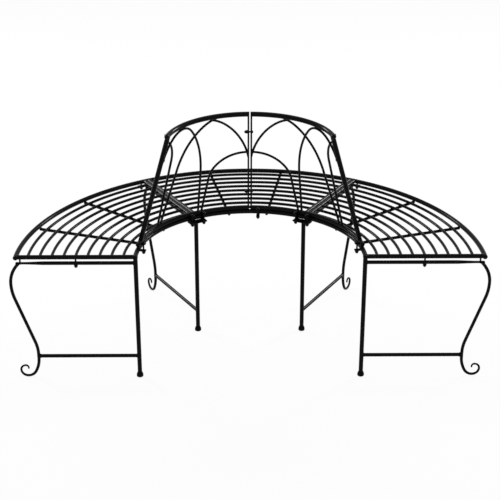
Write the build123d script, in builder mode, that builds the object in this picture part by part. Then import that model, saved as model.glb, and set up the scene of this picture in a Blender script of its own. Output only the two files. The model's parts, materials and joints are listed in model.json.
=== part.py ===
from build123d import *
import os
from math import asin, atan2, cos, degrees, radians, sin, sqrt, tan

# Semicircular garden bench of coated steel tube and rod, made to stand round half of a tree.
# Millimetres, +Z up, floor at Z = 0. The open side, where the tree stands, faces -Y.
os.makedirs("parts", exist_ok=True)

# Seat: three sections between two concentric rims
outer_rim_radius = 773.0
inner_rim_radius = 379.0
seat_height = 460.0
rim_diameter = 16.0
end_bar_diameter = 15.0
slat_diameter = 10.0
slat_count = 9
slat_end_gap = 0.2
cross_bar_diameter = 10.5
cross_bar_inset = 4.0
cross_bar_angles = (19.0, 39.0)
section_names = ("right", "middle", "left")
section_angle = 60.0
section_gap = 1.0
rim_end_cover = 0.5

# Leg frames: straight inner leg, scroll leg, top rail and stretcher
leg_diameter = 15.0
frame_rail_diameter = 12.5
frame_rail_gap = 7.8
stretcher_diameter = 12.5
stretcher_height = 80.5
stretcher_set_back = 3.0
foot_diameter = 23.0
foot_neck_diameter = 18.5
foot_height = 15.0
foot_floor = 3.0
foot_shoulder = 8.0
foot_edge = 1.5
foot_clearance = 0.1

# Flattened outer end of the top rail
tongue_width = 16.0
tongue_thickness = 5.2
tongue_overhang = 1.0
tongue_length = 29.0
flattening_length = 60.0

# Scroll leg: swells outside the seat, runs in to a waist and ends in a tapered curl
scroll_diameter = 11.0
scroll_bulge = 22.8
scroll_bulge_height = 355.0
scroll_shoulder_radius = 103.7
scroll_bulge_radius = 176.5
scroll_lean_angle = 19.2
scroll_waist_inset = 51.4
scroll_waist_radius = 141.5
curl_turns = (30.0, 60.0, 90.0, 90.0, 100.0)
curl_radii = (101.5, 30.5, 23.2, 16.4, 9.8)
curl_diameters = (10.2, 8.8, 7.6, 6.6, 5.6)
curl_floor_allowance = 0.015

# Backrest: two panels that lean in over the inner rim
back_height = 860.8
back_top_radius = 271.5
back_rail_diameter = 17.0
back_foot_diameter = 15.0
end_post_diameter = 16.0
end_post_angle = 14.0
top_rail_overhang = 16.0
bottom_rail_overhang = 33.0
panel_gap = 4.0
centre_post_thickness = 6.0
centre_post_width = 15.0

# Arches of the backrest: each limb is part of an ellipse with its own crown, and ends in a straight foot
rod_diameter = 8.0
rod_clearance = 0.1
arch_spans = 2
near_feet_angle = 35.0
far_feet_angle = 61.8
foot_spacing = 9.4
near_apex_angle = 36.0
near_inner_fall = 236.0
near_inner_knee_angle = 82.2
near_outer_fall = 154.0
near_outer_reach_angle = 24.0
far_apex_angle = 64.0
far_outer_run_on_angle = 2.5
far_outer_crown_angle = 77.3
far_outer_crown_rise = 1.0
far_outer_fall = 213.0
far_outer_knee_angle = 81.7
far_inner_crown_angle = 55.7
far_inner_crown_drop = 9.5
far_inner_fall = 201.0
far_inner_reach_angle = 34.0
end_arch_drop = 31.0
end_arch_fall = 100.0
end_arch_knee_angle = 88.0
centre_arch_rise = 11.7
centre_arch_fall = 100.0
centre_arch_knee_angle = 86.1

# Brackets
lug_width = 12.0
lug_thickness = 4.0
lug_reach = 8.0
lug_under_rim = 2.0
lug_weld_depth = 1.0
rail_lug_rise = 2.0
plate_length = 64.0
plate_thickness = 4.0
leg_plate_overlap = 3.0
rim_plate_width = 18.0

# Fasteners
bolt_diameter = 6.0
bolt_hole_clearance = 0.4
bolt_rim_clearance = 4.5
bolt_head_diameter = 9.6
bolt_head_height = 3.2
bolt_head_chamfer = 1.4
bolt_nut_grip = 7.0
nut_flats = 11.0
nut_hex_height = 6.0
nut_dome_radius = 5.2
nut_bore_depth = 8.0
end_bolt_angle = 11.2
centre_bolt_angle = 85.4
leg_bolt_spacing = 45.6
rim_stud_spacing = 44.0
middle_stud_radius = 576.0
outer_stud_inset = 13.5
rivet_diameter = 7.5
rivet_height = 1.2
lower_joining_rise = 69.5
upper_joining_drop = 69.8

# Heights and radii that follow from the sizes above
ring_y = (foot_diameter / 2 - outer_rim_radius - rim_diameter / 2) / 2
ring_axis = Axis((0, ring_y, 0), (0, 0, 1))
seat_axis = seat_height - rim_diameter / 2
rim_bottom = seat_axis - rim_diameter / 2
slat_pitch = (outer_rim_radius - inner_rim_radius) / (slat_count + 1)
slat_end_shift = end_bar_diameter / 2 + slat_end_gap
slat_radii = [inner_rim_radius + slat_pitch * (i + 1) for i in range(slat_count)]
cross_bar_axis = seat_axis - (slat_diameter + cross_bar_diameter) / 2
rim_end_reach = end_bar_diameter / 2 + rim_end_cover
joint_shift = section_gap / 2 + rim_end_reach
bench_angle = section_angle * len(section_names)

frame_rail_top = seat_axis - end_bar_diameter / 2 - frame_rail_gap
frame_rail_axis = frame_rail_top - frame_rail_diameter / 2
tongue_end = outer_rim_radius + tongue_overhang
tongue_start = tongue_end - tongue_length
tongue_top = frame_rail_axis + tongue_thickness / 2
scroll_waist = outer_rim_radius - scroll_waist_inset

back_rail_axis = back_height - back_rail_diameter / 2
back_foot_axis = seat_axis + (rim_diameter + back_foot_diameter) / 2
back_slope = (back_top_radius - inner_rim_radius) / (back_rail_axis - back_foot_axis)
back_lean = atan2(inner_rim_radius - back_top_radius, back_rail_axis - back_foot_axis)
rod_layer = rod_diameter / 2 + rod_clearance / 2
rod_reach = (back_rail_diameter + rod_diameter) / 2 + rod_clearance
apex_height = back_rail_axis - sqrt(rod_reach**2 - rod_layer**2) * cos(back_lean)
post_offset = (panel_gap + centre_post_thickness) / 2
back_mid_radius = (inner_rim_radius + back_top_radius) / 2
back_middle = (back_rail_axis + back_foot_axis) / 2
posts_width = panel_gap + 2 * centre_post_thickness
centre_angle = 90.0 - degrees(asin(post_offset / back_mid_radius))
centre_face_angle = 90.0 - degrees(asin(posts_width / 2 / back_mid_radius))
foot_step = degrees(foot_spacing / inner_rim_radius) / 2
post_foot = back_foot_axis + back_foot_diameter / 4
joining_bolt_heights = (back_foot_axis + lower_joining_rise, back_rail_axis - upper_joining_drop)

bolt_hole = bolt_diameter + bolt_hole_clearance
bolt_radius = inner_rim_radius - rim_diameter / 2 - bolt_rim_clearance - bolt_diameter / 2
lug_end = bolt_radius - lug_reach
rim_lug_top = rim_bottom + lug_weld_depth
rim_lug_bottom = rim_lug_top - lug_thickness
rail_lug_top = back_foot_axis + rail_lug_rise
leg_plate_bottom = rim_lug_bottom - plate_thickness
leg_plate_edge = inner_rim_radius + leg_plate_overlap
leg_plate_middle = (leg_plate_edge + lug_end) / 2
outer_stud_radius = outer_rim_radius - outer_stud_inset


def ring_spot(radius, angle, height, shift=0.0):
    """Point at a radius and angle about the ring's axis, shifted sideways towards larger angles."""
    turn = radians(angle)
    x = radius * cos(turn) - shift * sin(turn)
    y = ring_y + radius * sin(turn) + shift * cos(turn)
    return Vector(x, y, height)


def radial_plane(angle, shift=0.0):
    """Upright plane on the ring's axis: local X runs outwards and local Y runs up."""
    turn = radians(angle)
    return Plane(
        origin=ring_spot(0, angle, 0, shift),
        x_dir=(cos(turn), sin(turn), 0),
        z_dir=(sin(turn), -cos(turn), 0),
    )


def bar_plane(radius, angle, height, shift=0.0):
    """Plane across a radial bar, facing outwards."""
    turn = radians(angle)
    return Plane(
        origin=ring_spot(radius, angle, height, shift),
        x_dir=(-sin(turn), cos(turn), 0),
        z_dir=(cos(turn), sin(turn), 0),
    )


def down_plane(radius, angle, height, shift=0.0):
    """Level plane that faces the floor."""
    return Plane(ring_spot(radius, angle, height, shift), z_dir=(0, 0, -1))


def shifted_angle(angle, shift, radius):
    """Angle of the point that lies a sideways shift away from a radial line."""
    return angle + degrees(asin(shift / radius))


def save(piece, name):
    """Label a finished piece and write it."""
    piece.part.label = name
    export_step(piece.part, f"parts/{name}.step")


def ring_tube(radius, height, diameter, start, end):
    """Round tube bent about the ring's axis."""
    with BuildPart() as tube:
        with BuildSketch(radial_plane(start)):
            with Locations((radius, height)):
                Circle(diameter / 2)
        revolve(axis=ring_axis, revolution_arc=end - start)
    return tube


# Places of the bolts that hold the backrest, by panel
leg_bolt_step = degrees(asin(leg_bolt_spacing / 2 / bolt_radius))
leg_bolt_angles = [section_angle - leg_bolt_step, section_angle + leg_bolt_step]
right_bolt_angles = [end_bolt_angle, *leg_bolt_angles, centre_bolt_angle]
left_bolt_angles = [bench_angle - a for a in (end_bolt_angle, *leg_bolt_angles)]
back_bolt_angles = right_bolt_angles + left_bolt_angles
plated_angles = leg_bolt_angles + [bench_angle - a for a in leg_bolt_angles]

# Seat sections: rims, end bars, slats and cross bars
rims = {}
end_bar_sets = {}
for index, section in enumerate(section_names):
    start = index * section_angle
    end = start + section_angle
    start_shift = 0.0 if index == 0 else joint_shift
    end_shift = 0.0 if index == len(section_names) - 1 else joint_shift

    section_rims = {}
    for rim_name, radius in (("inner", inner_rim_radius), ("outer", outer_rim_radius)):
        rim_start = shifted_angle(start, start_shift - rim_end_reach, radius)
        rim_end = shifted_angle(end, rim_end_reach - end_shift, radius)
        rim = ring_tube(radius, seat_axis, rim_diameter, rim_start, rim_end)
        section_rims[rim_name] = rim
        save(rim, f"{section}_seat_{rim_name}_rim")

    with BuildPart() as end_bars:
        with BuildSketch(
            bar_plane(inner_rim_radius, start, seat_axis, start_shift),
            bar_plane(inner_rim_radius, end, seat_axis, -end_shift),
        ):
            Circle(end_bar_diameter / 2)
        extrude(amount=outer_rim_radius - inner_rim_radius)
        for rim in section_rims.values():
            add(rim.part, mode=Mode.SUBTRACT)
    save(end_bars, f"{section}_seat_end_bars")

    with BuildPart() as slats:
        for radius in slat_radii:
            slat_start = shifted_angle(start, start_shift + slat_end_shift, radius)
            slat_end = shifted_angle(end, -end_shift - slat_end_shift, radius)
            with BuildSketch(radial_plane(slat_start)):
                with Locations((radius, seat_axis)):
                    Circle(slat_diameter / 2)
            revolve(axis=ring_axis, revolution_arc=slat_end - slat_start)
    save(slats, f"{section}_seat_slats")

    bar_start = inner_rim_radius + cross_bar_inset
    bar_end = outer_rim_radius - cross_bar_inset
    bar_angles = [start + angle if index == 0 else end - angle for angle in cross_bar_angles]
    with BuildPart() as cross_bars:
        with BuildSketch(*[bar_plane(bar_start, angle, cross_bar_axis) for angle in bar_angles]):
            Circle(cross_bar_diameter / 2)
        extrude(amount=bar_end - bar_start)
        for rim in section_rims.values():
            add(rim.part, mode=Mode.SUBTRACT)
    save(cross_bars, f"{section}_seat_cross_bars")

    rims[section] = section_rims
    end_bar_sets[section] = end_bars

# Leg plates across the tops of the back legs, where the lugs of two sections meet
back_frame_angles = (section_angle, bench_angle - section_angle)
with BuildPart() as leg_plates:
    for angle in back_frame_angles:
        with BuildSketch(Plane(ring_spot(leg_plate_middle, angle, leg_plate_bottom))):
            Rectangle(leg_plate_edge - lug_end, plate_length, rotation=angle)
        extrude(amount=plate_thickness)
    with Locations(*[down_plane(bolt_radius, angle, rim_lug_bottom) for angle in plated_angles]):
        Cylinder(bolt_hole / 2, 3 * plate_thickness, mode=Mode.SUBTRACT)
save(leg_plates, "leg_plates")

# Leg frames
frames = (
    ("right_front", 0.0, "right"),
    ("right_back", section_angle, None),
    ("left_back", bench_angle - section_angle, None),
    ("left_front", bench_angle, "left"),
)
shoulder_centre = outer_rim_radius + scroll_bulge - scroll_shoulder_radius
scroll_top = frame_rail_axis - tongue_thickness / 2
shoulder = asin((scroll_top - scroll_bulge_height) / scroll_shoulder_radius)
lean = radians(scroll_lean_angle)
bulge_end = outer_rim_radius + scroll_bulge - scroll_bulge_radius * (1 - cos(lean))
waist_start = scroll_waist + scroll_waist_radius * (1 - cos(lean))
run_length = (bulge_end - waist_start) / sin(lean)
run_drop = run_length * cos(lean)
waist_height = scroll_bulge_height - run_drop
waist_height -= (scroll_bulge_radius + scroll_waist_radius) * sin(lean)

heading = radians(-90.0)
curl_depth = 0.0
for turn, radius in zip(curl_turns[:2], curl_radii[:2]):
    curl_depth += radius * (cos(heading + radians(turn)) - cos(heading))
    heading += radians(turn)
curl_start = curl_depth + curl_diameters[1] / 2 + curl_floor_allowance

cap_nut_seats = []
for frame, angle, section in frames:
    frame_plane = radial_plane(angle)
    leg_top = seat_axis if section else leg_plate_bottom
    with BuildPart() as leg:
        with BuildSketch(Plane(ring_spot(inner_rim_radius, angle, foot_floor))):
            Circle(leg_diameter / 2)
        extrude(amount=leg_top - foot_floor)
        if section:
            add(rims[section]["inner"].part, mode=Mode.SUBTRACT)
            add(end_bar_sets[section].part, mode=Mode.SUBTRACT)
    save(leg, f"{frame}_inner_leg")

    with BuildPart() as foot_cap:
        with BuildSketch(frame_plane):
            with BuildLine():
                Polyline(
                    (inner_rim_radius, 0),
                    (inner_rim_radius + foot_diameter / 2 - foot_edge, 0),
                    (inner_rim_radius + foot_diameter / 2, foot_edge),
                    (inner_rim_radius + foot_diameter / 2, foot_shoulder),
                    (inner_rim_radius + foot_neck_diameter / 2, foot_height),
                    (inner_rim_radius + leg_diameter / 2 + foot_clearance, foot_height),
                    (inner_rim_radius + leg_diameter / 2 + foot_clearance, foot_floor),
                    (inner_rim_radius, foot_floor),
                    close=True,
                )
            make_face()
        revolve(axis=Axis(ring_spot(inner_rim_radius, angle, 0), (0, 0, 1)))
    save(foot_cap, f"{frame}_foot_cap")

    flattening_start = tongue_start - flattening_length
    with BuildPart() as frame_rail:
        with BuildSketch(bar_plane(inner_rim_radius, angle, frame_rail_axis)):
            Circle(frame_rail_diameter / 2)
        extrude(amount=flattening_start - inner_rim_radius)
        with BuildSketch(bar_plane(flattening_start, angle, frame_rail_axis)):
            Circle(frame_rail_diameter / 2)
        with BuildSketch(bar_plane(tongue_start, angle, frame_rail_axis)):
            Ellipse(tongue_width / 2, tongue_thickness / 2)
        loft(ruled=True)
        with BuildSketch(bar_plane(tongue_start, angle, frame_rail_axis)):
            Ellipse(tongue_width / 2, tongue_thickness / 2)
        extrude(amount=tongue_length)
        with Locations(Plane(ring_spot(inner_rim_radius, angle, frame_rail_axis))):
            Cylinder(leg_diameter / 2, 2 * frame_rail_diameter, mode=Mode.SUBTRACT)
        stud_spots = [middle_stud_radius, outer_stud_radius] if section else [outer_stud_radius]
        with Locations(*[Plane(ring_spot(r, angle, frame_rail_axis)) for r in stud_spots]):
            Cylinder(bolt_hole / 2, 2 * frame_rail_diameter, mode=Mode.SUBTRACT)
    save(frame_rail, f"{frame}_frame_rail")

    shoulder_start = (shoulder_centre + scroll_shoulder_radius * cos(shoulder), scroll_top)
    with BuildPart() as scroll_leg:
        with BuildLine(frame_plane) as rod_line:
            upper = JernArc(
                shoulder_start,
                (sin(shoulder), -cos(shoulder)),
                scroll_shoulder_radius,
                -degrees(shoulder),
            )
            bulge = JernArc(upper @ 1, upper % 1, scroll_bulge_radius, -scroll_lean_angle)
            run = Line(bulge @ 1, (bulge @ 1) + (bulge % 1) * run_length)
            waist = JernArc(run @ 1, run % 1, scroll_waist_radius, scroll_lean_angle)
            drop = Line(waist @ 1, (waist @ 1) + (waist % 1) * (waist_height - curl_start))
        with BuildSketch(Plane(upper @ 0, z_dir=upper % 0)):
            Circle(scroll_diameter / 2)
        sweep(path=rod_line.wires()[0])
        corner = drop @ 1
        direction = drop % 1
        diameter = scroll_diameter
        for turn, radius, next_diameter in zip(curl_turns, curl_radii, curl_diameters):
            with BuildLine(frame_plane) as curl_line:
                curl = JernArc(corner, direction, radius, turn)
            with BuildSketch(Plane(curl @ 0, z_dir=curl % 0)):
                Circle(diameter / 2)
            with BuildSketch(Plane(curl @ 1, z_dir=curl % 1)):
                Circle(next_diameter / 2)
            sweep(path=curl_line.wires()[0], multisection=True)
            corner = curl @ 1
            direction = curl % 1
            diameter = next_diameter
        with Locations(Plane(corner)):
            Sphere(diameter / 2)
        add(frame_rail.part, mode=Mode.SUBTRACT)
    save(scroll_leg, f"{frame}_scroll_leg")

    with BuildPart() as stretcher:
        with BuildSketch(bar_plane(inner_rim_radius, angle, stretcher_height)):
            Circle(stretcher_diameter / 2)
        extrude(amount=scroll_waist - stretcher_set_back - inner_rim_radius)
        add(leg.part, mode=Mode.SUBTRACT)
        add(scroll_leg.part, mode=Mode.SUBTRACT)
    save(stretcher, f"{frame}_stretcher")

    if section:
        cap_nut_seats.append(
            down_plane(middle_stud_radius, angle, frame_rail_axis - frame_rail_diameter / 2)
        )

# Rim plates on the flattened rail ends of the back frames
rim_stud_step = degrees(asin(rim_stud_spacing / 2 / outer_rim_radius))
rim_stud_angles = [a + s * rim_stud_step for a in back_frame_angles for s in (-1, 1)]
rim_plate_top = tongue_top + plate_thickness
with BuildPart() as rim_plates:
    for angle in back_frame_angles:
        with BuildSketch(Plane(ring_spot(outer_rim_radius, angle, tongue_top))):
            Rectangle(rim_plate_width, plate_length, rotation=angle)
        extrude(amount=plate_thickness)
    stud_holes = [ring_spot(outer_rim_radius, angle, tongue_top) for angle in rim_stud_angles]
    stud_holes += [ring_spot(outer_stud_radius, angle, tongue_top) for angle in back_frame_angles]
    with Locations(*[Plane(spot) for spot in stud_holes]):
        Cylinder(bolt_hole / 2, 3 * plate_thickness, mode=Mode.SUBTRACT)
save(rim_plates, "rim_plates")

# Studs that stand down from the seat, and the riveted studs at the outer ends of the frames
front_angles = (0.0, bench_angle)
rivet_seat = frame_rail_axis - tongue_thickness / 2
cap_nut_seats += [down_plane(outer_rim_radius, angle, tongue_top) for angle in rim_stud_angles]
with BuildPart() as seat_studs:
    for angle in front_angles:
        with Locations(down_plane(middle_stud_radius, angle, seat_axis)):
            Cylinder(
                bolt_diameter / 2,
                seat_axis - frame_rail_axis + frame_rail_diameter / 2 + bolt_nut_grip,
                align=(Align.CENTER, Align.CENTER, Align.MIN),
            )
    for angle in rim_stud_angles:
        with Locations(down_plane(outer_rim_radius, angle, seat_axis)):
            Cylinder(
                bolt_diameter / 2,
                seat_axis - tongue_top + bolt_nut_grip,
                align=(Align.CENTER, Align.CENTER, Align.MIN),
            )
    for angle, top in (
        (front_angles[0], seat_axis),
        (front_angles[1], seat_axis),
        (back_frame_angles[0], rim_plate_top),
        (back_frame_angles[1], rim_plate_top),
    ):
        with Locations(down_plane(outer_stud_radius, angle, top)):
            Cylinder(
                bolt_diameter / 2,
                top - rivet_seat,
                align=(Align.CENTER, Align.CENTER, Align.MIN),
            )
        with Locations(down_plane(outer_stud_radius, angle, rivet_seat)):
            Cylinder(
                rivet_diameter / 2,
                rivet_height,
                align=(Align.CENTER, Align.CENTER, Align.MIN),
            )
    for section in section_names:
        add(rims[section]["outer"].part, mode=Mode.SUBTRACT)
        add(end_bar_sets[section].part, mode=Mode.SUBTRACT)
save(seat_studs, "seat_studs")

# Lugs under the inner rims, one at each backrest bolt
with BuildPart() as rim_lugs:
    for angle in back_bolt_angles:
        with BuildSketch(radial_plane(angle, lug_width / 2)):
            with BuildLine():
                Polyline(
                    (lug_end, rim_lug_bottom),
                    (inner_rim_radius + lug_under_rim, rim_lug_bottom),
                    (inner_rim_radius + lug_under_rim, rim_lug_top),
                    (lug_end, rim_lug_top),
                    close=True,
                )
            make_face()
        extrude(amount=lug_width)
    for section in section_names:
        add(rims[section]["inner"].part, mode=Mode.SUBTRACT)
    with Locations(*[down_plane(bolt_radius, angle, rim_lug_top) for angle in back_bolt_angles]):
        Cylinder(bolt_hole / 2, 3 * lug_thickness, mode=Mode.SUBTRACT)
save(rim_lugs, "rim_lugs")


def back_radius(height):
    """Radius of the leaning backrest at a height."""
    return inner_rim_radius + (height - back_foot_axis) * back_slope


def biarc(start, start_direction, end, end_direction):
    """Two tangent arcs between two points, each as start, middle and end."""
    span = end - start
    both = start_direction + end_direction
    square = 2 * (start_direction.dot(end_direction) - 1)
    linear = -2 * span.dot(both)
    reach = (-linear - sqrt(linear**2 - 4 * square * span.dot(span))) / (2 * square)
    first_corner = start + start_direction * reach
    second_corner = end - end_direction * reach
    joint = (first_corner + second_corner) * 0.5
    arcs = []
    for tail, corner, head in ((start, first_corner, joint), (joint, second_corner, end)):
        weight = (head - tail).length / 2 / reach
        middle = (tail + corner * (2 * weight) + head) * (1 / (2 + 2 * weight))
        arcs.append((tail, middle, head))
    return arcs


def foot_reach(foot_angle, crown_angle, top, fall, knee_angle):
    """Reach of an ellipse whose tangent at the knee runs straight to a foot."""
    knee = radians(knee_angle)
    knee_height = top - fall * (1 - cos(knee))
    return (foot_angle - crown_angle) / (sin(knee) + (knee_height - post_foot) / fall / tan(knee))


# Backrest panels: rails, posts and interlaced arches
panels = (("right", right_bolt_angles), ("left", left_bolt_angles))
joining_seats = {"right": [], "left": []}
bottom_rails = {}
for panel, bolt_angles in panels:

    def panel_angle(angle):
        """Angle about the ring's axis of an angle counted from the panel's own end of the bench."""
        return angle if panel == "right" else bench_angle - angle

    def back_spot(angle, height, layer):
        """Point on the leaning backrest, moved outwards by a layer."""
        radius = back_radius(height) + layer * cos(back_lean)
        return ring_spot(radius, panel_angle(angle), height + layer * sin(back_lean))

    def limb(crown, top, reach, fall, first_turn, last_turn, layer):
        """Arcs along part of an ellipse wrapped on the backrest, its turns counted from the crown."""

        def place(turn):
            angle = crown + reach * sin(radians(turn))
            return back_spot(angle, top - fall * (1 - cos(radians(turn))), layer)

        def direction(turn):
            nudge = 0.01 if last_turn > first_turn else -0.01
            return (place(turn + nudge) - place(turn - nudge)).normalized()

        step = (last_turn - first_turn) / arch_spans
        turns = [first_turn + step * i for i in range(arch_spans + 1)]
        arcs = []
        for before, after in zip(turns, turns[1:]):
            arcs += biarc(place(before), direction(before), place(after), direction(after))
        return arcs

    def footed_rod(arcs):
        """Rod along arcs, with a straight foot that runs on from their first point down to the rail."""
        with BuildPart() as rod:
            with BuildLine() as rod_line:
                curves = [ThreePointArc(*arc) for arc in arcs]
                knee = curves[0] @ 0
                uphill = curves[0] % 0
                foot = knee - uphill * ((knee.Z - post_foot) / uphill.Z)
                Line(foot, knee)
            with BuildSketch(Plane(foot, z_dir=uphill)):
                Circle(rod_diameter / 2)
            sweep(path=rod_line.wires()[0])
        return rod

    def ring_angles(first, last):
        """Two panel angles in rising order about the ring's axis."""
        return sorted((panel_angle(first), panel_angle(last)))

    top_start = end_post_angle - degrees(top_rail_overhang / back_top_radius)
    top_end = 90.0 - degrees(asin(panel_gap / 2 / back_top_radius))
    with BuildPart() as top_rail:
        rail_start, rail_end = ring_angles(top_start, top_end)
        with BuildSketch(radial_plane(rail_start)):
            with Locations((back_top_radius, back_rail_axis)):
                Circle(back_rail_diameter / 2)
        revolve(axis=ring_axis, revolution_arc=rail_end - rail_start)
        with Locations(back_spot(top_start, back_rail_axis, 0.0)):
            Sphere(back_rail_diameter / 2)
    save(top_rail, f"{panel}_back_top_rail")

    foot_start = end_post_angle - degrees(bottom_rail_overhang / inner_rim_radius)
    foot_end = 90.0 - degrees(asin(panel_gap / 2 / inner_rim_radius))
    bottom_rail = ring_tube(
        inner_rim_radius, back_foot_axis, back_foot_diameter, *ring_angles(foot_start, foot_end)
    )
    bottom_rails[panel] = bottom_rail
    save(bottom_rail, f"{panel}_back_bottom_rail")

    post_start = back_spot(end_post_angle, post_foot, 0.0)
    post_end = back_spot(end_post_angle, back_rail_axis, 0.0)
    with BuildPart() as end_post:
        with BuildSketch(Plane(post_start, z_dir=post_end - post_start)):
            Circle(end_post_diameter / 2)
        extrude(amount=(post_end - post_start).length)
        add(top_rail.part, mode=Mode.SUBTRACT)
        add(bottom_rail.part, mode=Mode.SUBTRACT)
    save(end_post, f"{panel}_back_end_post")

    side = 1 if panel == "right" else -1
    post_plane = Plane(
        (side * panel_gap / 2, ring_y, 0), x_dir=(0, side, 0), z_dir=(side, 0, 0)
    )
    post_sides = []
    for height, edge in ((post_foot, -1), (post_foot, 1), (back_rail_axis, 1), (back_rail_axis, -1)):
        step = edge * centre_post_width / 2
        radius = back_radius(height) + step * cos(back_lean)
        post_sides.append((side * radius, height + step * sin(back_lean)))
    with BuildPart() as centre_post:
        with BuildSketch(post_plane):
            with BuildLine():
                Polyline(*post_sides, close=True)
            make_face()
        extrude(amount=centre_post_thickness)
        joining_seats[panel] = [
            Plane(
                (side * (panel_gap / 2 + centre_post_thickness), ring_y + back_radius(height), height),
                z_dir=(side, 0, 0),
            )
            for height in joining_bolt_heights
        ]
        with Locations(*joining_seats[panel]):
            Cylinder(bolt_hole / 2, 3 * centre_post_thickness, mode=Mode.SUBTRACT)
        add(top_rail.part, mode=Mode.SUBTRACT)
        add(bottom_rail.part, mode=Mode.SUBTRACT)
    save(centre_post, f"{panel}_back_centre_post")

    near_turn = degrees(asin((near_apex_angle - end_post_angle) / near_outer_reach_angle))
    near_foot = far_feet_angle - foot_step
    near_reach = foot_reach(
        near_foot, near_apex_angle, apex_height, near_inner_fall, near_inner_knee_angle
    )
    near_arch = footed_rod(
        limb(
            near_apex_angle,
            apex_height,
            near_reach,
            near_inner_fall,
            near_inner_knee_angle,
            0,
            -rod_layer,
        )
        + limb(
            near_apex_angle,
            apex_height,
            -near_outer_reach_angle,
            near_outer_fall,
            0,
            near_turn,
            -rod_layer,
        )
    )

    far_outer_top = back_rail_axis + far_outer_crown_rise
    far_inner_top = back_rail_axis - far_inner_crown_drop
    far_foot = near_feet_angle + foot_step
    far_reach = foot_reach(
        far_foot, far_outer_crown_angle, far_outer_top, far_outer_fall, far_outer_knee_angle
    )
    outer_end = far_apex_angle + far_outer_run_on_angle
    outer_limb = footed_rod(
        limb(
            far_outer_crown_angle,
            far_outer_top,
            far_reach,
            far_outer_fall,
            far_outer_knee_angle,
            degrees(asin((outer_end - far_outer_crown_angle) / far_reach)),
            rod_layer,
        )
    )
    inner_arcs = limb(
        far_inner_crown_angle,
        far_inner_top,
        far_inner_reach_angle,
        far_inner_fall,
        degrees(asin((far_apex_angle - far_inner_crown_angle) / far_inner_reach_angle)),
        degrees(asin((centre_angle - far_inner_crown_angle) / far_inner_reach_angle)),
        rod_layer,
    )
    with BuildPart() as far_arch:
        with BuildLine() as limb_line:
            limb_curves = [ThreePointArc(*arc) for arc in inner_arcs]
        with BuildSketch(Plane(limb_curves[0] @ 0, z_dir=limb_curves[0] % 0)):
            Circle(rod_diameter / 2)
        sweep(path=limb_line.wires()[0])
        add(outer_limb.part)

    end_top = back_rail_axis - end_arch_drop
    end_foot = near_feet_angle - foot_step
    end_arch = footed_rod(
        limb(
            end_post_angle,
            end_top,
            foot_reach(end_foot, end_post_angle, end_top, end_arch_fall, end_arch_knee_angle),
            end_arch_fall,
            end_arch_knee_angle,
            0,
            rod_layer,
        )
    )

    far_end_turn = asin((centre_face_angle - far_inner_crown_angle) / far_inner_reach_angle)
    centre_top = far_inner_top - far_inner_fall * (1 - cos(far_end_turn)) + centre_arch_rise
    centre_foot = far_feet_angle + foot_step
    centre_arch = footed_rod(
        limb(
            centre_angle,
            centre_top,
            foot_reach(
                centre_foot, centre_angle, centre_top, centre_arch_fall, centre_arch_knee_angle
            ),
            centre_arch_fall,
            centre_arch_knee_angle,
            0,
            -rod_layer,
        )
    )

    for rod_name, whole_rod in (
        ("far_arch", far_arch),
        ("near_arch", near_arch),
        ("end_arch", end_arch),
        ("centre_arch", centre_arch),
    ):
        with BuildPart() as rod:
            add(whole_rod.part)
            for neighbour in (top_rail, bottom_rail, end_post):
                add(neighbour.part, mode=Mode.SUBTRACT)
            with Locations((0, ring_y + back_mid_radius, back_middle)):
                Box(posts_width, back_height, back_height, mode=Mode.SUBTRACT)
        save(rod, f"{panel}_back_{rod_name}")

# Lugs on the inside of the bottom rails, one at each backrest bolt
with BuildPart() as rail_lugs:
    for angle in back_bolt_angles:
        with BuildSketch(radial_plane(angle, lug_width / 2)):
            with BuildLine():
                Polyline(
                    (lug_end, rail_lug_top - lug_thickness),
                    (inner_rim_radius, rail_lug_top - lug_thickness),
                    (inner_rim_radius, rail_lug_top),
                    (lug_end, rail_lug_top),
                    close=True,
                )
            make_face()
        extrude(amount=lug_width)
    for bottom_rail in bottom_rails.values():
        add(bottom_rail.part, mode=Mode.SUBTRACT)
    with Locations(*[down_plane(bolt_radius, angle, rail_lug_top) for angle in back_bolt_angles]):
        Cylinder(bolt_hole / 2, 3 * lug_thickness, mode=Mode.SUBTRACT)
save(rail_lugs, "rail_lugs")

# Backrest bolts, joining bolts and domed cap nuts
with BuildPart() as back_bolts:
    for angle in back_bolt_angles:
        nut_seat = leg_plate_bottom if angle in plated_angles else rim_lug_bottom
        cap_nut_seats.append(down_plane(bolt_radius, angle, nut_seat))
        with Locations(down_plane(bolt_radius, angle, rail_lug_top)):
            Cylinder(
                bolt_diameter / 2,
                rail_lug_top - nut_seat + bolt_nut_grip,
                align=(Align.CENTER, Align.CENTER, Align.MIN),
            )
            Cylinder(
                bolt_head_diameter / 2,
                bolt_head_height,
                align=(Align.CENTER, Align.CENTER, Align.MAX),
            )
    chamfer(back_bolts.edges().filter_by(GeomType.CIRCLE).group_by(Axis.Z)[-1], bolt_head_chamfer)
save(back_bolts, "back_bolts")

joining_length = posts_width + bolt_nut_grip
cap_nut_seats += joining_seats["left"]
with BuildPart() as joining_bolts:
    with Locations(*joining_seats["right"]):
        Cylinder(
            bolt_diameter / 2,
            joining_length,
            align=(Align.CENTER, Align.CENTER, Align.MAX),
        )
        Cylinder(
            bolt_head_diameter / 2,
            bolt_head_height,
            align=(Align.CENTER, Align.CENTER, Align.MIN),
        )
    chamfer(joining_bolts.edges().filter_by(GeomType.CIRCLE).group_by(Axis.X)[-1], bolt_head_chamfer)
save(joining_bolts, "joining_bolts")

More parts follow.
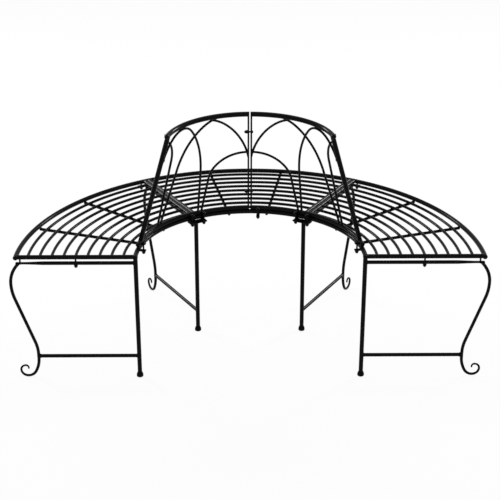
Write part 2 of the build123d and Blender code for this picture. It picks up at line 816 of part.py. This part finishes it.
with BuildPart() as cap_nuts:
    with BuildSketch(*cap_nut_seats):
        RegularPolygon(nut_flats / 2, 6, major_radius=False)
    extrude(amount=nut_hex_height)
    with Locations(*[seat.offset(nut_hex_height) for seat in cap_nut_seats]):
        Sphere(nut_dome_radius)
    with Locations(*cap_nut_seats):
        Cylinder(
            bolt_diameter / 2,
            nut_bore_depth,
            align=(Align.CENTER, Align.CENTER, Align.MIN),
            mode=Mode.SUBTRACT,
        )
save(cap_nuts, "cap_nuts")
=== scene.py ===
# %% [markdown]
# # A half-round garden bench in satin black
# The bench arrives as a frame of finished pieces: rims, slats, legs, arches, bolts and feet, each one already
# in its place. This lesson gives that frame its looks: the powder coat, the moulded feet, the weld beads that
# hold the rods, and a plain studio to see it in.

import json
from math import atan2, cos, degrees, pi, radians, sin, sqrt

import bmesh
import bpy
from mathutils import Matrix, Vector


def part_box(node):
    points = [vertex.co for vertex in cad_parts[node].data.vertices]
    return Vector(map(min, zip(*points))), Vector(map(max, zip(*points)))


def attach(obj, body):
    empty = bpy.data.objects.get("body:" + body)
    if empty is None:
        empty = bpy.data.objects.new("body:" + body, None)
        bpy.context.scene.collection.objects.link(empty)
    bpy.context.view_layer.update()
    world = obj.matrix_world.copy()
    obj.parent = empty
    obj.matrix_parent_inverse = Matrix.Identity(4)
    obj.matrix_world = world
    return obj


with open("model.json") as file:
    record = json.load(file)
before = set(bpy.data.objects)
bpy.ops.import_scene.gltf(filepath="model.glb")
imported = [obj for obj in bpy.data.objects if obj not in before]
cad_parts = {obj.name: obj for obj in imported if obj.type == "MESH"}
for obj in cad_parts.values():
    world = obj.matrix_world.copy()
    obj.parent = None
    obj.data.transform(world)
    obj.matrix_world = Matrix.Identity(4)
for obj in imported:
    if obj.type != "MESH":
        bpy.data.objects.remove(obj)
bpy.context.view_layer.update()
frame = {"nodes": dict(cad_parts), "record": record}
nodes = frame["nodes"]
mm_per_m = 1000

# %% [markdown]
# Every curve of the bench shares one upright axis, the middle of the half circle. Finding that axis once, and
# measuring radii from it, lets each later step say "at this radius and this angle" as the bender would.

# %% Find the ring's axis
def level_bar(node_name):
    """Radius of a bar that lies level, and the height of its axis."""
    low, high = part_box(node_name)
    return (high.z - low.z) / 2, (high.z + low.z) / 2


rim_tube_radius, seat_axis = level_bar("right_seat_outer_rim")
outer_rim_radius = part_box("right_seat_outer_rim")[1].x - rim_tube_radius
inner_rim_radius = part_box("right_seat_inner_rim")[1].x - rim_tube_radius
foot_low, foot_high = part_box("right_front_foot_cap")
ring_y = (foot_low.y + foot_high.y) / 2


def ring_spot(radius, angle, height, shift=0.0):
    """Point at a radius and an angle in degrees about the ring's axis, shifted towards larger angles."""
    turn = radians(angle)
    x = radius * cos(turn) - shift * sin(turn)
    y = ring_y + radius * sin(turn) + shift * cos(turn)
    return Vector((x, y, height))


def ring_angle(spot):
    """Angle in degrees of a point about the ring's axis."""
    return degrees(atan2(spot.y - ring_y, spot.x))


print(f"ring axis at y {ring_y:.4f} m, rims at {inner_rim_radius:.4f} and {outer_rim_radius:.4f} m")

# %% [markdown]
# ## Camera
# The photograph looks down on the open side of the bench from above head height and well back, with a long
# lens, so the near and far legs stay close in size. The camera is placed by the same measures.

# %% Camera
camera_side = -0.0268
camera_back = 3.8768
camera_height = 2.2816
camera_pitch = radians(24.97)
camera_yaw = radians(0.375)
camera_lens_mm = 93.74
camera_sensor_mm = 36.0
camera_data = bpy.data.cameras.new("photo_camera")
camera_data.lens = camera_lens_mm
camera_data.sensor_width = camera_sensor_mm
camera = bpy.data.objects.new("photo_camera", camera_data)
camera.location = (camera_side, ring_y - camera_back, camera_height)
camera.rotation_euler = (pi / 2 - camera_pitch, 0, -camera_yaw)
bpy.context.scene.collection.objects.link(camera)
bpy.context.scene.camera = camera
print(f"camera {camera_back:.2f} m in front of the ring's axis and {camera_height:.2f} m up")

# %% [markdown]
# ## Studio
# The bench stands in a white sweep. More light would bleach the floor and the bench alike, so the white
# comes from the materials instead. The Light Path node tells which rays see a thing, either straight, in
# a mirror or through glass, and which rays only carry light from it.

# %% Tell seeing rays from lighting rays
full_white = 1.0


def seeing_rays(tree):
    """Socket that is 1 for camera, glossy and transmission rays, and 0 for all others."""
    path = tree.nodes.new("ShaderNodeLightPath")
    sight = path.outputs["Is Camera Ray"]
    for ray in ("Is Glossy Ray", "Is Transmission Ray"):
        either = tree.nodes.new("ShaderNodeMath")
        either.operation = "MAXIMUM"
        tree.links.new(sight, either.inputs[0])
        tree.links.new(path.outputs[ray], either.inputs[1])
        sight = either.outputs[0]
    return sight


print(f"seeing rays will find white at a strength of {full_white}")

# %% [markdown]
# The floor is a pale matt sheet. A seeing ray finds mostly plain white there, while a small share of the
# sheet's own shading stays in, so that soft shadows still ground the feet.

# %% Floor
floor_size = 30.0
floor_grey = 0.9
floor_shade_share = 0.07
floor_mesh = bpy.data.meshes.new("studio_floor")
sheet = bmesh.new()
bmesh.ops.create_grid(sheet, x_segments=1, y_segments=1, size=floor_size / 2)
sheet.to_mesh(floor_mesh)
sheet.free()
floor = bpy.data.objects.new("studio_floor", floor_mesh)
bpy.context.scene.collection.objects.link(floor)

floor_paper = bpy.data.materials.new("white_paper")
floor_paper.use_nodes = True
paper = floor_paper.node_tree
paper.nodes.clear()
paper_out = paper.nodes.new("ShaderNodeOutputMaterial")
paper_matt = paper.nodes.new("ShaderNodeBsdfDiffuse")
paper_white = paper.nodes.new("ShaderNodeEmission")
paper_blend = paper.nodes.new("ShaderNodeMixShader")
paper_share = paper.nodes.new("ShaderNodeMath")
paper_matt.inputs["Color"].default_value = (floor_grey, floor_grey, floor_grey, 1)
paper_white.inputs["Strength"].default_value = full_white
paper_share.operation = "MULTIPLY"
paper_share.inputs[1].default_value = 1 - floor_shade_share
paper.links.new(seeing_rays(paper), paper_share.inputs[0])
paper.links.new(paper_share.outputs[0], paper_blend.inputs["Fac"])
paper.links.new(paper_matt.outputs[0], paper_blend.inputs[1])
paper.links.new(paper_white.outputs[0], paper_blend.inputs[2])
paper.links.new(paper_blend.outputs[0], paper_out.inputs["Surface"])
floor_mesh.materials.append(floor_paper)
print(f"floor {floor_size:.0f} m square")

# %% [markdown]
# The room itself is white to seeing rays too, and gives a gentle fill to everything else.

# %% World
room_fill = 0.45
room = bpy.data.worlds.new("white_room")
room.use_nodes = True
room_tree = room.node_tree
room_tree.nodes.clear()
room_out = room_tree.nodes.new("ShaderNodeOutputWorld")
room_blend = room_tree.nodes.new("ShaderNodeMixShader")
for blend_input, strength in ((1, room_fill), (2, full_white)):
    light = room_tree.nodes.new("ShaderNodeBackground")
    light.inputs["Color"].default_value = (1, 1, 1, 1)
    light.inputs["Strength"].default_value = strength
    room_tree.links.new(light.outputs[0], room_blend.inputs[blend_input])
room_tree.links.new(seeing_rays(room_tree), room_blend.inputs["Fac"])
room_tree.links.new(room_blend.outputs[0], room_out.inputs["Surface"])
bpy.context.scene.world = room
bpy.context.scene.view_settings.view_transform = "Standard"
print(f"white room with a fill of {room_fill}")

# %% [markdown]
# Three soft lamps stand in for studio boxes. A round bar shows a highlight only where it mirrors a lamp, so
# the two strong boxes stand behind the bench, out to the sides and above head height: there they draw a thin
# bright line along the bars that run away from the camera. A weak box overhead softens the shadows.

# %% Lamps
lamp_target = Vector((0, 0, 0.45))
for lamp_name, place, size, power in (
    ("top_soft_box", Vector((0.0, 0.7, 3.4)), 1.6, 20.0),
    ("left_soft_box", Vector((-3.5, 2.8, 2.65)), 1.0, 120.0),
    ("right_soft_box", Vector((3.5, 2.8, 2.65)), 1.0, 120.0),
):
    lamp_data = bpy.data.lights.new(lamp_name, "AREA")
    lamp_data.shape = "SQUARE"
    lamp_data.size = size
    lamp_data.energy = power
    lamp = bpy.data.objects.new(lamp_name, lamp_data)
    lamp.location = place
    lamp.rotation_euler = (lamp_target - place).to_track_quat("-Z", "Y").to_euler()
    bpy.context.scene.collection.objects.link(lamp)
    print(f"{lamp_name}: {size} m across at {power:.0f} W")

# %% [markdown]
# ## Powder coat
# The steel is coated in black powder that melts into a skin with a fine orange peel. Three noises give it: a
# fine one for the peel, a finer one for specks, and a large one for the slow drift in tone and sheen that any
# outdoor coat has. All of them read Object coordinates, so the pattern stays put on the metal. An image would
# need a flat map of every bent bar.

# %% Noise on the metal
drift_scale = 9.0
drift_detail = 6.0
speck_scale = 900.0
speck_detail = 2.0
peel_scale = 420.0
peel_detail = 3.0


def coat_noise(tree, scale, detail):
    """Socket with a noise on the piece's own coordinates."""
    place = tree.nodes.new("ShaderNodeTexCoord")
    noise = tree.nodes.new("ShaderNodeTexNoise")
    noise.inputs["Scale"].default_value = scale
    noise.inputs["Detail"].default_value = detail
    tree.links.new(place.outputs["Object"], noise.inputs["Vector"])
    return noise.outputs["Fac"]


print(f"peel about {mm_per_m / peel_scale:.1f} mm across, drift about {mm_per_m / drift_scale:.0f} mm")

# %% [markdown]
# Drift and specks together choose a tone between a dark and a pale black. The drift alone, stretched over its
# usual range, sets the roughness, so that the sheen wanders along a bar. The peel goes into the bump.

# %% Powder coat material
drift_low = 0.3
drift_high = 0.7
peel_depth = 0.0004


def coat_material(name, tones, roughness, peel, gloss):
    """Coat with orange peel, fine specks and a slow drift in tone and sheen."""
    coat = bpy.data.materials.new(name)
    coat.use_nodes = True
    tree = coat.node_tree
    shader = tree.nodes["Principled BSDF"]
    shader.inputs["Specular IOR Level"].default_value = gloss
    drift = coat_noise(tree, drift_scale, drift_detail)
    specks = coat_noise(tree, speck_scale, speck_detail)
    grain = coat_noise(tree, peel_scale, peel_detail)

    both = tree.nodes.new("ShaderNodeMath")
    both.operation = "MULTIPLY"
    tree.links.new(drift, both.inputs[0])
    tree.links.new(specks, both.inputs[1])
    tone = tree.nodes.new("ShaderNodeMix")
    tone.data_type = "RGBA"
    for end, grey in zip(("A", "B"), tones):
        tone.inputs[end].default_value = (grey, grey, grey, 1)
    tree.links.new(both.outputs[0], tone.inputs["Factor"])
    tree.links.new(tone.outputs["Result"], shader.inputs["Base Color"])

    sheen = tree.nodes.new("ShaderNodeMapRange")
    sheen.inputs["From Min"].default_value = drift_low
    sheen.inputs["From Max"].default_value = drift_high
    sheen.inputs["To Min"].default_value = roughness[0]
    sheen.inputs["To Max"].default_value = roughness[1]
    tree.links.new(drift, sheen.inputs["Value"])
    tree.links.new(sheen.outputs["Result"], shader.inputs["Roughness"])

    bump = tree.nodes.new("ShaderNodeBump")
    bump.inputs["Strength"].default_value = peel
    bump.inputs["Distance"].default_value = peel_depth
    tree.links.new(grain, bump.inputs["Height"])
    tree.links.new(bump.outputs["Normal"], shader.inputs["Normal"])
    return coat


frame_coat = coat_material(
    "frame_coat", tones=(0.0022, 0.0095), roughness=(0.11, 0.16), peel=0.10, gloss=0.045
)
print("made", frame_coat.name)

# %% [markdown]
# ## Bolts and feet
# The fasteners are coated before they are fitted, so they are a touch smoother and darker than the frame.
# The foot caps are soft black plastic: duller, with the fine spark-eroded texture of a mould. Both finishes
# are the same recipe with other values.

# %% Fastener and foot materials
fastener_coat = coat_material(
    "fastener_coat", tones=(0.0012, 0.0045), roughness=(0.08, 0.12), peel=0.06, gloss=0.05
)
foot_plastic = coat_material(
    "foot_plastic", tones=(0.0020, 0.0060), roughness=(0.42, 0.54), peel=0.25, gloss=0.045
)
slot_materials = {"frame_coat": frame_coat, "fasteners": fastener_coat, "foot_plastic": foot_plastic}
for subpart in frame["record"]["subparts"]:
    node = nodes[subpart["node"]]
    finish = slot_materials[subpart["material_slot"]]
    for slot in node.material_slots:
        slot.material = finish

# %% [markdown]
# ## Weld beads
# Every rod of the bench is welded where it meets a tube, and the coat runs over the bead, so each joint has
# a soft rounded collar. A modelled collar catches light that a bump map would miss. It is a small circle
# spun into a ring round the rod. The ring is then bent down over the back of the tube, as the bead lies.

# %% A ring of weld
bead_radius = 0.0016
bead_sides = 6
ring_steps = 14
merge_distance = 1e-6


def weld_ring(rod_radius, tube_radius):
    """Bead round a rod: local Z runs along the rod and local X along the tube that it meets."""
    ring = bmesh.new()
    place = Matrix.Translation((rod_radius, 0, 0)) @ Matrix.Rotation(pi / 2, 4, "X")
    circle = bmesh.ops.create_circle(ring, segments=bead_sides, radius=bead_radius, matrix=place)
    bmesh.ops.spin(
        ring,
        geom=circle["verts"] + list(ring.edges),
        cent=(0, 0, 0),
        axis=(0, 0, 1),
        angle=2 * pi,
        steps=ring_steps,
        use_merge=True,
    )
    bmesh.ops.remove_doubles(ring, verts=ring.verts, dist=merge_distance)
    for vert in ring.verts:
        side = min(abs(vert.co.y), tube_radius)
        vert.co.z += sqrt(tube_radius**2 - side**2)
    bmesh.ops.recalc_face_normals(ring, faces=ring.faces)
    mesh = bpy.data.meshes.new("weld_ring")
    ring.to_mesh(mesh)
    ring.free()
    return mesh


def add_ring(beads, ring, centre, along, across):
    """Set a ring where a rod leaves a tube: centre lies on the tube's axis."""
    turn = Matrix((across, along.cross(across), along)).transposed().to_4x4()
    first = len(beads.verts)
    beads.from_mesh(ring)
    beads.verts.ensure_lookup_table()
    bmesh.ops.transform(beads, matrix=Matrix.Translation(centre) @ turn, verts=beads.verts[first:])


bead_mm = 2 * bead_radius * mm_per_m
print(f"weld bead {bead_mm:.1f} mm thick, {bead_sides * ring_steps} faces to a ring")

# %% [markdown]
# Where there is no room for a collar, a welder sets a tack: one rounded lump that bridges the two bars. A
# small sphere, stretched along the joint and sunk into both bars, gives it. The beads of one part of the
# bench become one piece, which is shaded smooth and takes the frame's coat.

# %% A tack of weld
tack_rounding = 2


def add_tack(beads, centre, sizes, turn=0.0):
    """Set a rounded lump of weld, with its half sizes along a turned X, Y and Z."""
    turned = Matrix.Rotation(radians(turn), 4, "Z")
    place = Matrix.Translation(centre) @ turned @ Matrix.Diagonal((*sizes, 1))
    bmesh.ops.create_icosphere(beads, subdivisions=tack_rounding, radius=1.0, matrix=place)


def finish_piece(name, shape):
    """Make one coated piece of a set of beads or domes."""
    mesh = bpy.data.meshes.new(name)
    shape.to_mesh(mesh)
    shape.free()
    for polygon in mesh.polygons:
        polygon.use_smooth = True
    mesh.materials.append(frame_coat)
    piece = bpy.data.objects.new(name, mesh)
    bpy.context.scene.collection.objects.link(piece)
    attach(piece, "root")
    print(f"{name}: {len(mesh.polygons)} faces")


print(f"a tack is an icosphere with {tack_rounding} subdivisions")

# %% [markdown]
# ## Seat welds
# The seat is where most welds are: a collar at both ends of every slat, and at both ends of the bars that
# close a section. All of them follow from the rims and from how many slats lie between them, so loops
# place them.

# %% Seat welds
slat_count = 9
section_count = 3
section_angle = 60.0
section_gap = 0.001
rim_end_cover = 0.0005
slat_radius = level_bar("right_seat_slats")[0]
end_bar_radius = level_bar("right_seat_end_bars")[0]
slat_pitch = (outer_rim_radius - inner_rim_radius) / (slat_count + 1)
slat_radii = [inner_rim_radius + slat_pitch * (i + 1) for i in range(slat_count)]
joint_shift = section_gap / 2 + end_bar_radius + rim_end_cover


def outwards(angle):
    """Level direction away from the ring's axis."""
    return Vector((cos(radians(angle)), sin(radians(angle)), 0))


def onwards(angle):
    """Level direction along the ring, towards larger angles."""
    return Vector((-sin(radians(angle)), cos(radians(angle)), 0))


seat_beads = bmesh.new()
slat_ring = weld_ring(slat_radius, end_bar_radius)
bar_ring = weld_ring(end_bar_radius, rim_tube_radius)
for index in range(section_count):
    start = index * section_angle
    end = start + section_angle
    start_shift = 0.0 if index == 0 else joint_shift
    end_shift = 0.0 if index == section_count - 1 else -joint_shift
    for angle, shift, way in ((start, start_shift, 1), (end, end_shift, -1)):
        for radius in slat_radii:
            spot = ring_spot(radius, angle, seat_axis, shift)
            add_ring(seat_beads, slat_ring, spot, onwards(angle) * way, outwards(angle))
        for radius, side in ((inner_rim_radius, 1), (outer_rim_radius, -1)):
            spot = ring_spot(radius, angle, seat_axis, shift)
            add_ring(seat_beads, bar_ring, spot, outwards(angle) * side, onwards(angle))
finish_piece("seat_end_welds", seat_beads)

# %% [markdown]
# Two bars cross under the slats of each section. A small tack sits wherever a slat lies on one of them, and a
# larger one where the bar ends at a rim. The bars' angles are measured from the front end of the right and
# of the left section, and the middle section is set out as the left one is.

# %% Tacks on the cross bars
cross_bar_angles = (19.0, 39.0)
tack_sizes = (0.0046, 0.0038, 0.0020)
bar_end_sizes = (0.0036, 0.0056, 0.0030)
bar_end_step = 0.0066
bar_end_drop = 0.0012
slat_underside = seat_axis - slat_radius
crossing_beads = bmesh.new()
for index in range(section_count):
    start = index * section_angle
    end = start + section_angle
    for step in cross_bar_angles:
        angle = start + step if index == 0 else end - step
        for radius in slat_radii:
            add_tack(crossing_beads, ring_spot(radius, angle, slat_underside), tack_sizes, angle)
        for radius, side in ((inner_rim_radius, 1), (outer_rim_radius, -1)):
            spot = ring_spot(radius + side * bar_end_step, angle, slat_underside - bar_end_drop)
            add_tack(crossing_beads, spot, bar_end_sizes, angle)
finish_piece("cross_bar_tacks", crossing_beads)

# %% [markdown]
# ## Leg frame welds
# A box tells where a straight level bar lies, but not where a bent or a leaning one ends. Such an end is
# found on the metal itself, as the mean of the points that lie furthest in one direction.

# %% Find the end of a bar
upwards = Vector((0, 0, 1))


def node_points(node_name):
    """Points of a piece's mesh."""
    return [Vector(vert.co) for vert in nodes[node_name].data.vertices]


def furthest(node_name, direction, depth):
    """Mean of the points of a piece that lie furthest in a direction, down to a depth."""
    points = node_points(node_name)
    reach = max(point.dot(direction) for point in points)
    ends = [point for point in points if point.dot(direction) > reach - depth]
    return sum(ends, Vector()) / len(ends)


scroll_low, scroll_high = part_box("right_front_scroll_leg")
scroll_radius = (scroll_high.y - scroll_low.y) / 2
scroll_mm = 2 * scroll_radius * mm_per_m
print(f"scroll bar {scroll_mm:.1f} mm thick, {scroll_high.z:.3f} m high")

# %% [markdown]
# Each leg frame is a loop of four bars. The rail and the stretcher are coped into the straight leg, the
# stretcher runs into the waist of the scroll, and the top of the scroll is welded under the flattened end
# of the rail, where the bead is a fat lump. The front legs end under a rim, so their top collar is bent
# over it. The back legs end under a flat plate, so theirs is flat.

# %% Leg frame welds
frame_angles = {"right_front": 0.0, "right_back": 60.0, "left_back": 120.0, "left_front": 180.0}
tongue_lump = (0.0075, 0.0070, 0.0040)
crown_depth = 0.004
leg_beads = bmesh.new()
for leg_frame, angle in frame_angles.items():
    leg_low, leg_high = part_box(f"{leg_frame}_inner_leg")
    leg_radius = (leg_high.x - leg_low.x) / 2
    for bar in ("frame_rail", "stretcher"):
        bar_radius, bar_axis = level_bar(f"{leg_frame}_{bar}")
        spot = ring_spot(inner_rim_radius, angle, bar_axis)
        add_ring(leg_beads, weld_ring(bar_radius, leg_radius), spot, outwards(angle), upwards)

    stretcher_radius, stretcher_axis = level_bar(f"{leg_frame}_stretcher")
    stretcher_points = node_points(f"{leg_frame}_stretcher")
    reach = max((point - ring_spot(0, angle, 0)).dot(outwards(angle)) for point in stretcher_points)
    waist_ring = weld_ring(stretcher_radius, scroll_radius)
    add_ring(leg_beads, waist_ring, ring_spot(reach, angle, stretcher_axis), -outwards(angle), upwards)

    crown = furthest(f"{leg_frame}_scroll_leg", upwards, crown_depth)
    add_tack(leg_beads, crown, tongue_lump, angle)
    under_rim = leg_frame.endswith("front")
    leg_top = seat_axis if under_rim else leg_high.z
    leg_ring = weld_ring(leg_radius, rim_tube_radius if under_rim else 0.0)
    add_ring(leg_beads, leg_ring, ring_spot(inner_rim_radius, angle, leg_top), -upwards, onwards(angle))
finish_piece("leg_frame_welds", leg_beads)

# %% [markdown]
# ## Backrest welds
# The arches are the showpiece, so their welds are the neatest: a low mound at each foot, and a small lump
# where a crown touches the rail or an end dies into a post. A full collar would hide the slim rods.

# %% Arch welds
end_depth = 0.006
end_post_depth = 0.012
foot_lump = (0.0058, 0.0058, 0.0034)
crown_lump = (0.0060, 0.0036, 0.0030)
flat_post_lump = (0.0044, 0.0044, 0.0044)
end_post_lump = (0.0038, 0.0038, 0.0080)
quarter_turn = 90
front = Vector((0, -1, 0))
back_beads = bmesh.new()
for panel, side in (("right", 1), ("left", -1)):
    middle = Vector((-side, 0, 0))
    for arch in ("far_arch", "near_arch", "end_arch", "centre_arch"):
        foot = furthest(f"{panel}_back_{arch}", -upwards, end_depth)
        add_tack(back_beads, foot, foot_lump, ring_angle(foot))
    for arch in ("far_arch", "near_arch"):
        crown = furthest(f"{panel}_back_{arch}", upwards, end_depth)
        add_tack(back_beads, crown, crown_lump, ring_angle(crown) + quarter_turn)
    for arch in ("far_arch", "centre_arch"):
        add_tack(back_beads, furthest(f"{panel}_back_{arch}", middle, end_depth), flat_post_lump)
    for arch in ("near_arch", "end_arch"):
        add_tack(back_beads, furthest(f"{panel}_back_{arch}", front, end_post_depth), end_post_lump)
print(f"arch tacks set, {len(back_beads.faces)} faces so far")

# %% [markdown]
# The end posts are tubes, so they have a collar at the top and at the bottom. A post leans inwards, so the
# collar is set where the post's own line meets the height of the rail's axis.

# %% End post welds
end_post_radius = 0.008
for panel in ("right", "left"):
    foot = furthest(f"{panel}_back_end_post", -upwards, end_depth)
    head = furthest(f"{panel}_back_end_post", upwards, end_depth)
    lean = (head - foot).normalized()
    for rail, way in (("bottom_rail", 1), ("top_rail", -1)):
        rail_radius, rail_axis = level_bar(f"{panel}_back_{rail}")
        spot = foot + lean * ((rail_axis - foot.z) / lean.z)
        post_ring = weld_ring(end_post_radius, rail_radius)
        add_ring(back_beads, post_ring, spot, lean * way, onwards(ring_angle(foot)))
finish_piece("backrest_welds", back_beads)

# %% [markdown]
# ## Closed tube ends
# An open tube would let rain in, so the cut ends of the rims and of the bottom rails are closed with a
# shallow dome. It is a sphere, flattened along the tube, with half of it inside the metal.

# %% Tube end domes
dome_height = 0.0032
dome_fit = 0.97
dome_points = 24
dome_rows = dome_points // 2


def add_dome(domes, spot, tube_radius):
    """Set a flattened sphere at the cut end of a tube that runs along the ring."""
    width = tube_radius * dome_fit
    turn = Matrix.Rotation(radians(ring_angle(spot)), 4, "Z")
    place = Matrix.Translation(spot) @ turn @ Matrix.Diagonal((width, dome_height, width, 1))
    bmesh.ops.create_uvsphere(
        domes, u_segments=dome_points, v_segments=dome_rows, radius=1.0, matrix=place
    )


end_domes = bmesh.new()
for section, front_angle, way in (("right", 0.0, -1), ("left", 180.0, 1)):
    for radius in (inner_rim_radius, outer_rim_radius):
        reach = end_bar_radius + rim_end_cover
        add_dome(end_domes, ring_spot(radius, front_angle, seat_axis, way * reach), rim_tube_radius)
    rail = f"{section}_back_bottom_rail"
    rail_radius, rail_axis = level_bar(rail)
    rail_end = min(node_points(rail), key=lambda point: point.y)
    add_dome(end_domes, ring_spot(inner_rim_radius, ring_angle(rail_end), rail_axis), rail_radius)
finish_piece("tube_end_domes", end_domes)
